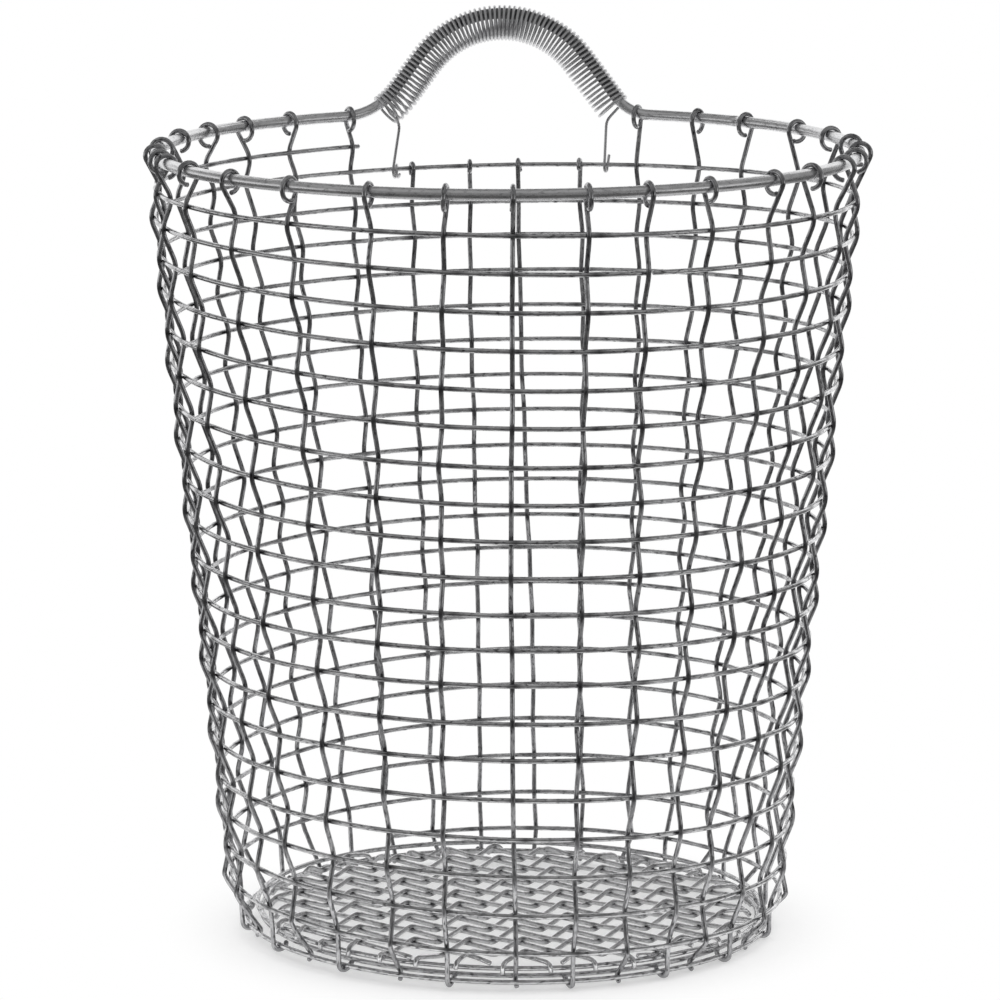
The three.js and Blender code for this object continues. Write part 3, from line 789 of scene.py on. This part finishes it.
# %% [markdown]
# ## Foot ring and base ring
# The foot ring is a plain hoop that all the foot hooks hold. Inside them lies the base ring, one wire
# wound twice, which carries the woven floor. The foot ring closes on itself. The base ring drops from its
# upper to its lower turn over a short stretch, so it is left open.

# %% Make the foot ring
foot_points = []
for bearing in np.linspace(0, 2 * math.pi, 133)[:-1]:
    foot_points.append(at_bearing(bearing, FOOT_R + left_bulge(bearing), FOOT_Z + foot_lift(bearing)))
foot_ring = round_wire("foot_ring_wire", foot_points, MESH_WIRE, row_steel, closed=True)
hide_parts("foot_ring")
print("foot ring at", round(FOOT_Z, 2), "mm")

# %% Make the base ring
RING_R, RING_Z, LOW_RING_R, STACK = 110.1, 8.35, 108.4, 3.57
RING_START = math.radians(76)
RING_TURNS = (0.02, 1.98)
DROP_FROM, DROP_OVER = 0.9, 0.1
ring_points = []
for turn in np.linspace(*RING_TURNS, 240):
    drop = np.clip((turn - DROP_FROM) / DROP_OVER, 0, 1)
    drop = drop * drop * (3 - 2 * drop)
    r = RING_R + (LOW_RING_R - RING_R) * drop
    bearing = RING_START + 2 * math.pi * turn
    ring_points.append(at_bearing(bearing, r, RING_Z - STACK * drop + foot_lift(bearing)))
base_ring = round_wire("base_ring_wire", ring_points, MESH_WIRE, row_steel)
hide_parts("base_ring")
print("base ring at", RING_Z, "and", round(RING_Z - STACK, 2), "mm")

# %% [markdown]
# ## The woven floor
# Two sets of wires lie crosswise. One set is nearly straight, the other is crimped over and under it. The
# mat was cut out of a bigger piece and lies a little askew in the ring: at the front it rests on the ring
# and its ends are bent down outside it, at the back it hangs lower and the ends stop inside. The shortest
# wires at the edge are fixed to the ring, so they belong to its solid.

# %% Lay out the floor
BASE_WIRES, BASE_PITCH = 14, 16.01
BASE_TURN = {"a": math.radians(48.6), "b": math.radians(-41.4)}
FLOOR_Z, FLOOR_TILT = 9.2, 0.024


def base_offset(index):
    return (index - (BASE_WIRES - 1) / 2) * BASE_PITCH


def has_room(x, y, clear):
    """True where no upright that passes inside the foot ring stands near this end."""
    bearing = math.atan2(x, -y)
    for place in range(1, UPRIGHTS + 1):
        if side_at(place, ROWS - 1) > 0:
            if abs(turn_between(foot_bearing(place), bearing)) * FOOT_R < clear:
                return False
    return True


high, low = FLOOR_Z + 100 * FLOOR_TILT, FLOOR_Z - 100 * FLOOR_TILT
print("floor pitch", BASE_PITCH, "mm, from", round(high, 2), "to", round(low, 2), "mm high")

# %% End a floor wire at the ring
ON_RING, STEEPEST, END_ROOM = 0.8 * MESH_WIRE, 1.6, 3.0
PAST_RING, BEND_EARLY, REST_GAP = 2.3, 0.4, (0.3, 0.9)
TIP_PAST, TIP_DROP = (-0.1, 0.4), (0.2, 2.2)
EDGE_PAST, EDGE_GAP = 0.6, (0.0, 0.3)
SHORT_OF_RING, SHORT_CHANCE = 3.9, (0.0, 2.0)
KNEE_BACK, KNEE_RISE, STOP_DROP = (2.5, 4.5), (0.6, 1.5), (1.2, 2.8)


def floor_end(end, offset, reach, turn, short):
    """The last corners of a floor wire at one end: over the ring and down, or short of the ring."""
    c, s = math.cos(turn), math.sin(turn)
    x, y = c * end * reach - s * offset, s * end * reach + c * offset
    level = FLOOR_Z - FLOOR_TILT * y
    slant = RING_R / reach
    over = level > RING_Z + ON_RING
    if over and not short and slant < STEEPEST and has_room(x, y, END_ROOM):
        past = PAST_RING * slant
        rest_z = RING_Z + MESH_WIRE + luck.uniform(*REST_GAP)
        tip_x = reach + past + luck.uniform(*TIP_PAST)
        tip_z = RING_Z - luck.uniform(*TIP_DROP)
        return [[end * (reach + past - BEND_EARLY), offset, rest_z], [end * tip_x, offset, tip_z]]
    if over:
        return [[end * (reach + EDGE_PAST), offset, RING_Z + MESH_WIRE + luck.uniform(*EDGE_GAP)]]
    stop = reach - (SHORT_OF_RING + luck.uniform(*SHORT_CHANCE)) * slant
    knee = stop - luck.uniform(*KNEE_BACK)
    knee_z = level + luck.uniform(*KNEE_RISE)
    stop_z = level - luck.uniform(*STOP_DROP)
    return [[end * knee, offset, knee_z], [end * stop, offset, stop_z]]


print("floor ends stop about", SHORT_OF_RING, "mm short of the ring at the back")

# %% Weave the floor
FLOOR_CRIMP = {"a": MESH_WIRE + 0.36, "b": -0.22}
FLOOR_CUT, FLOOR_STEPS = 3.2, 6
END_CLEAR = 2.5
ACROSS_CHANCE, ALONG_CHANCE = 0.55, 0.4


def is_fixed(index):
    return index < 2 or index > BASE_WIRES - 3


def floor_wire(letter, index):
    turn = BASE_TURN[letter]
    c, s = math.cos(turn), math.sin(turn)
    offset = base_offset(index)
    reach = math.sqrt(RING_R**2 - offset**2)
    ends = {end: floor_end(end, offset, reach, turn, is_fixed(index)) for end in (-1, 1)}
    limits = (ends[-1][0][0] + END_CLEAR, ends[1][0][0] - END_CLEAR)
    corners = []
    for other in range(BASE_WIRES):
        along = base_offset(other)
        if limits[0] < along < limits[1]:
            sign = -1 if (index + other) % 2 else 1
            across = offset + luck.uniform(-ACROSS_CHANCE, ACROSS_CHANCE)
            level = FLOOR_Z - FLOOR_TILT * (s * along + c * across)
            along += luck.uniform(-ALONG_CHANCE, ALONG_CHANCE)
            corners.append([along, across, level + FLOOR_CRIMP[letter] * sign])
    rub_and_shade_spots = [k + len(ends[-1]) for k in range(len(corners))]
    line, places = soften(ends[-1][::-1] + corners + ends[1], FLOOR_CUT, FLOOR_STEPS)
    points = []
    for x, y, z in line:
        x, y = c * x - s * y, s * x + c * y
        points.append((x, y, z + foot_lift(math.atan2(x, -y)) * math.hypot(x, y) / RING_R))
    return points, [places[k] for k in rub_and_shade_spots]


floor_wires = []
for letter in BASE_TURN:
    for index in range(BASE_WIRES):
        points, rub_and_shade_spots = floor_wire(letter, index)
        node = "base_wire_%s_%02d" % (letter, index + 1)
        # Where another floor wire crosses, this wire is painted darker: a rub mark and painted contact
        # shade.
        wire = round_wire(node + "_floor", points, MESH_WIRE, highlighted_floor_steel, rubbed_and_shaded=rub_and_shade_spots)
        short = is_fixed(index)
        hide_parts("base_ring" if short else node)
        floor_wires.append(wire)
print("floor wires", len(floor_wires))

# %% [markdown]
# ## The coil grip
# A thin bright wire is wound round the arch, so that the hand gets a rounder grip than the rim wire
# gives. The coil is wider than the wire inside it and hangs on it, so its middle runs a little below. One
# end leaves the coil at the outside and hooks on the first row, the other leaves at the inside and is
# looped round the row. A helix is a point that goes round the arch while it moves along it.

# %% Wind the coil
COIL_WIRE, COIL_R, COIL_TURNS = 1.3, 7.4, 66
HAIR = 0.03
COIL_SAG = COIL_R - RIM_WIRE / 2 - COIL_WIRE / 2 - HAIR
COIL_STEPS = 22
coil_points = []
coil_count = COIL_TURNS * COIL_STEPS + COIL_STEPS // 2
for step in range(coil_count + 1):
    way = BARE_RIGHT + (ARCH_LENGTH - BARE_RIGHT - BARE_LEFT) * step / coil_count
    along, up, lean = arch_at(way)
    turn = math.pi / 2 - 2 * math.pi * step / COIL_STEPS
    rise = COIL_R * math.cos(turn) - COIL_SAG
    along -= math.sin(lean) * rise
    up += math.cos(lean) * rise
    coil_points.append(on_rim(along, up, COIL_R * math.sin(turn)))
print("coil turns", COIL_TURNS, "points", len(coil_points))

# %% Run the right tail down to a hook
TAIL_GRIP = (MESH_WIRE + COIL_WIRE) / 2 + HAIR
RIGHT_TAIL, RIGHT_KNEE, RIGHT_CUT = -47.9, (-47.3, 152.0, 336.4), 2.6
HOOK_MEETS, HOOK_DROP, HOOK_SLANT = 0.5, 1.4, 0.3
HOOK_TIP_SLANT, HOOK_TIP_OUT, HOOK_TIP_UP = 1.0, 0.6, 4.2


def row_under(along):
    """Radius and height of the first row under a place on the arch."""
    _, r, z = weft_at(((HANDLE + along / RIM_R - FIRST_BEARING) % (2 * math.pi)) / (2 * math.pi))
    return r, z


def tail_point(along, r, z):
    return on_rim(along, z - RIM_Z, r - RIM_R)


r, z = row_under(RIGHT_TAIL)
right_meets = tail_point(RIGHT_TAIL, r - TAIL_GRIP, z + HOOK_MEETS)
right_line, _ = soften([coil_points[0], tail_point(*RIGHT_KNEE), right_meets], RIGHT_CUT)
right_tail = list(right_line[1:])
for part in np.linspace(0, 1, 10):
    angle = math.pi * (1 + part)
    up = z - HOOK_DROP + TAIL_GRIP * math.sin(angle)
    right_tail.append(tail_point(RIGHT_TAIL - HOOK_SLANT * part, r + TAIL_GRIP * math.cos(angle), up))
right_tail.append(tail_point(RIGHT_TAIL - HOOK_TIP_SLANT, r + TAIL_GRIP + HOOK_TIP_OUT, z + HOOK_TIP_UP))
print("right tail points", len(right_tail))

# %% Loop the left tail round the row
LEFT_TAIL, LEFT_KNEE, LEFT_CUT = 52.0, (49.0, 144.5, 336.5), 3.4
LOOP_MEETS, LOOP_DROP, LOOP_SLANT = 1.0, 0.9, 1.5
LEFT_LOOPS, LOOSE_GRIP = 1.4, TAIL_GRIP + 1.1
r, z = row_under(LEFT_TAIL)
left_meets = tail_point(LEFT_TAIL, r - LOOSE_GRIP, z + LOOP_MEETS)
left_line, _ = soften([coil_points[-1], tail_point(*LEFT_KNEE), left_meets], LEFT_CUT)
left_tail = list(left_line[1:])
for part in np.linspace(0, 1, 40):
    angle = math.pi * (1 + 2 * LEFT_LOOPS * part)
    along = LEFT_TAIL - LOOP_SLANT * (1 + math.cos(angle)) - LOOP_SLANT * LEFT_LOOPS * part
    up = z - LOOP_DROP + LOOSE_GRIP * math.sin(angle)
    left_tail.append(tail_point(along, r + LOOSE_GRIP * math.cos(angle), up))
coil_line = right_tail[::-1] + coil_points + left_tail
grip_coil = round_wire("coil_grip_wire", coil_line, COIL_WIRE, coil_steel, around=8)
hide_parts("grip_coil")
print("coil with tails", len(coil_line), "points")

# %% [markdown]
# ## The table
# The basket stands on a white table. The eye and every shiny wire see it as plain white a few centimetres
# away from the basket, and near the basket as matt paper that takes the soft shadow. For the light
# between matt things it is paper all over.

# %% Lay the table
PAPER_WHITE, EYE_LIFT = 0.80, 0.28
FADE_FROM, FADE_TO = 0.10, 0.155


def seen_by_eye_or_mirror(tree):
    """1 for rays from the camera, from metal or through glass; 0 for the light between matt things."""
    link = tree.links.new
    ray = add_node(tree, "ShaderNodeLightPath")
    first = add_math(tree, "MAXIMUM")
    both = add_math(tree, "MAXIMUM")
    link(ray.outputs["Is Camera Ray"], first.inputs[0])
    link(ray.outputs["Is Glossy Ray"], first.inputs[1])
    link(first.outputs["Value"], both.inputs[0])
    link(ray.outputs["Is Transmission Ray"], both.inputs[1])
    return both.outputs["Value"]


TABLE_CORNERS = [(-4, -3.2, 0), (4, -3.2, 0), (4, 4.8, 0), (-4, 4.8, 0)]
BELOW_FEET = 0.0004
table_mesh = bpy.data.meshes.new("white_table")
table_mesh.from_pydata(TABLE_CORNERS, [], [(0, 1, 2, 3)])
table = bpy.data.objects.new("white_table", table_mesh)
table.location.z = -BELOW_FEET
scene.collection.objects.link(table)
print("table laid")

# %% Cover the table with white paper
paper = blank_material("white_paper")
tree = paper.node_tree
link = tree.links.new
matte = add_node(tree, "ShaderNodeBsdfDiffuse", {"Color": (PAPER_WHITE, PAPER_WHITE, PAPER_WHITE, 1)})
eye = add_node(tree, "ShaderNodeLightPath")
to_eye = add_math(tree, "MULTIPLY", EYE_LIFT)
lift = add_node(tree, "ShaderNodeEmission")
lifted = add_node(tree, "ShaderNodeAddShader")
link(eye.outputs["Is Camera Ray"], to_eye.inputs[0])
link(to_eye.outputs["Value"], lift.inputs["Strength"])
link(matte.outputs["BSDF"], lifted.inputs[0])
link(lift.outputs["Emission"], lifted.inputs[1])

spot = add_node(tree, "ShaderNodeTexCoord")
distance = add_node(tree, "ShaderNodeVectorMath")
distance.operation = "LENGTH"
fade = add_node(tree, "ShaderNodeMapRange", {"From Min": FADE_FROM, "From Max": FADE_TO})
fade.interpolation_type = "SMOOTHSTEP"
far_white = add_node(tree, "ShaderNodeEmission")
near_far = add_node(tree, "ShaderNodeMixShader")
link(spot.outputs["Object"], distance.inputs[0])
link(distance.outputs["Value"], fade.inputs["Value"])
link(fade.outputs["Result"], near_far.inputs["Fac"])
link(lifted.outputs["Shader"], near_far.inputs[1])
link(far_white.outputs["Emission"], near_far.inputs[2])

pick = add_node(tree, "ShaderNodeMixShader")
paper_out = add_node(tree, "ShaderNodeOutputMaterial")
link(seen_by_eye_or_mirror(tree), pick.inputs["Fac"])
link(matte.outputs["BSDF"], pick.inputs[1])
link(near_far.outputs["Shader"], pick.inputs[2])
link(pick.outputs["Shader"], paper_out.inputs["Surface"])
paper.cycles.emission_sampling = "NONE"
table_mesh.materials.append(paper)
print("paper is white from", FADE_TO, "m on")

# %% [markdown]
# ## Cloths round the table
# Round wire is a row of tiny mirrors, so its look comes from what stands round it. As a photographer would,
# I hang cloths round the white table: a dark screen in front, side screens that are pale only near the
# table, a grey screen at the back right, a grey ceiling, and cloths on the table that darken away from the
# basket.
# No lamp lights them: each glows with a set grey, so their brightness is painted light, and so are the
# paleness near the table and the darkening away from the basket. They give each wire its dark line between
# pale edges. The back stays open and white. The cloths are kept out of the camera's sight and cast no
# shadow.

# %% Set the painted glow of the cloths
def glowing_cloth(name, grey):
    cloth = blank_material(name)
    # The grey is the light the cloth gives off, painted in: no lamp lights it.
    glow = add_node(cloth.node_tree, "ShaderNodeEmission", {"Color": (grey, grey, grey, 1)})
    out = add_node(cloth.node_tree, "ShaderNodeOutputMaterial")
    cloth.node_tree.links.new(glow.outputs["Emission"], out.inputs["Surface"])
    cloth.cycles.emission_sampling = "NONE"
    return cloth


def graded_glowing_cloth(name, near_grey, far_grey, near, far, upward=False):
    """A glowing cloth whose painted glow turns from one grey to another, away from the basket or upward from
    the table.
    """
    cloth = glowing_cloth(name, 1.0)
    tree = cloth.node_tree
    link = tree.links.new
    place = add_node(tree, "ShaderNodeTexCoord")
    split = add_node(tree, "ShaderNodeSeparateXYZ")
    away = add_node(tree, "ShaderNodeVectorMath")
    away.operation = "LENGTH"
    grades = {"From Min": near, "From Max": far, "To Min": near_grey, "To Max": far_grey}
    grade = add_node(tree, "ShaderNodeMapRange", grades)
    link(place.outputs["Object"], away.inputs[0])
    link(place.outputs["Object"], split.inputs["Vector"])
    link(split.outputs["Z"] if upward else away.outputs["Value"], grade.inputs["Value"])
    link(grade.outputs["Result"], tree.nodes["Emission"].inputs["Strength"])
    return cloth


APRON_FROM = 0.16
# Each grey, and each grading near the table or the basket, is painted light that the cloth gives off.
dark_felt_glow = glowing_cloth("dark_felt_glow", 0.19)
grey_felt_glow = glowing_cloth("grey_felt_glow", 0.26)
ceiling_felt_glow = glowing_cloth("ceiling_felt_glow", 0.20)
pale_felt_glow = graded_glowing_cloth("pale_felt_glow", 0.88, 0.24, 0.3, 1.4, upward=True)
dark_velvet_glow = graded_glowing_cloth("dark_velvet_glow", 0.50, 0.09, APRON_FROM, 0.38)
pale_velvet_glow = graded_glowing_cloth("pale_velvet_glow", 0.80, 0.12, APRON_FROM, 0.55)
cloths = (dark_felt_glow, grey_felt_glow, ceiling_felt_glow, pale_felt_glow, dark_velvet_glow, pale_velvet_glow)
print("cloths dyed:", *[cloth.name for cloth in cloths])

# %% Hang a cloth
SCREEN_R, SCREEN_TOP, BACK_OPENING = 3.2, math.radians(62), math.radians(40)
CLOTH_LIFT = 0.002
FACES = 12


def screen(name, spots, cloth, wide=FACES, high=FACES):
    """A sheet of wide by high faces through the place that spots(u, v) gives."""
    grid = [spots(u / wide, v / high) for v in range(high + 1) for u in range(wide + 1)]
    faces = []
    for v in range(high):
        for u in range(wide):
            k = v * (wide + 1) + u
            faces.append((k, k + 1, k + wide + 2, k + wide + 1))
    sheet = bpy.data.meshes.new(name)
    sheet.from_pydata(grid, [], faces)
    sheet.materials.append(cloth)
    hung = bpy.data.objects.new(name, sheet)
    scene.collection.objects.link(hung)
    hung.visible_camera = False
    hung.visible_diffuse = False
    hung.visible_shadow = False
    return hung


def on_dome(side, up):
    level = SCREEN_R * math.cos(up)
    return (level * math.sin(side), -level * math.cos(side), CLOTH_LIFT + SCREEN_R * math.sin(up))


print("cloths hang", SCREEN_R, "m away")

# %% Hang the cloths round the table
FRONT_LEFT, FRONT_RIGHT, SIDE, BACK = -54, 46, 85, 135
BACK_FROM = math.radians(BACK)
CEILING_FALL = 0.2


def wall(first, last):
    """Places on a standing screen between two bearings."""
    return lambda u, v: on_dome(math.radians(first + (last - first) * u), SCREEN_TOP * v)


def apron(first, last):
    """Places on a cloth on the table between two bearings."""

    def spot(u, v):
        side = math.radians(first + (last - first) * u)
        r = APRON_FROM + (SCREEN_R - APRON_FROM) * v
        return (r * math.sin(side), -r * math.cos(side), CLOTH_LIFT)

    return spot


def ceiling(u, v):
    """The ceiling comes down lower at the back, down to the white opening there."""
    side = math.pi * (2 * u - 1)
    low = np.interp(abs(side), (BACK_FROM, BACK_FROM + CEILING_FALL), (SCREEN_TOP, BACK_OPENING))
    return on_dome(side, low + (math.pi / 2 - low) * v)


screen("front_screen", wall(FRONT_LEFT, FRONT_RIGHT), dark_felt_glow)
screen("right_screen", wall(FRONT_RIGHT, SIDE), pale_felt_glow)
screen("right_back_screen", wall(SIDE, BACK), grey_felt_glow)
screen("left_screen", wall(FRONT_LEFT, -BACK), pale_felt_glow)
screen("grey_ceiling", ceiling, ceiling_felt_glow, wide=6 * FACES)
screen("front_apron", apron(FRONT_LEFT, FRONT_RIGHT), dark_velvet_glow)
screen("right_apron", apron(FRONT_RIGHT, BACK), pale_velvet_glow)
screen("left_apron", apron(FRONT_LEFT, -BACK), pale_velvet_glow)
print("white opening at the back up to", round(math.degrees(BACK_OPENING)), "degrees")

# %% [markdown]
# ## Light
# The room is white to the eye and to shiny wire, and a little softer where it only lights matt things.
# One large weak lamp overhead, tilted to the basket, adds a gentle direction to the light and to the
# shadow.

# %% Light the room
ROOM_LIGHT = 0.90
WHITE = (1, 1, 1, 1)
room = bpy.data.worlds.new("studio_room")
scene.world = room
room.use_nodes = True
tree = room.node_tree
tree.nodes.clear()
soft = add_node(tree, "ShaderNodeBackground", {"Color": WHITE, "Strength": ROOM_LIGHT})
plain = add_node(tree, "ShaderNodeBackground", {"Color": WHITE})
choose = add_node(tree, "ShaderNodeMixShader")
room_out = add_node(tree, "ShaderNodeOutputWorld")
tree.links.new(seen_by_eye_or_mirror(tree), choose.inputs["Fac"])
tree.links.new(soft.outputs["Background"], choose.inputs[1])
tree.links.new(plain.outputs["Background"], choose.inputs[2])
tree.links.new(choose.outputs["Shader"], room_out.inputs["Surface"])
print("room light", ROOM_LIGHT)

# %% Hang the lamp
lamp_data = bpy.data.lights.new("ceiling_softbox", "AREA")
lamp_data.shape = "RECTANGLE"
lamp_data.size = 2.8
lamp_data.size_y = 1.6
lamp_data.energy = 1.6
lamp = bpy.data.objects.new("ceiling_softbox", lamp_data)
lamp.location = (-0.15, -0.75, 1.75)
lamp.rotation_euler = (math.radians(26), math.radians(-4), 0)
scene.collection.objects.link(lamp)
print("lamp", lamp.name, lamp_data.energy, "W")
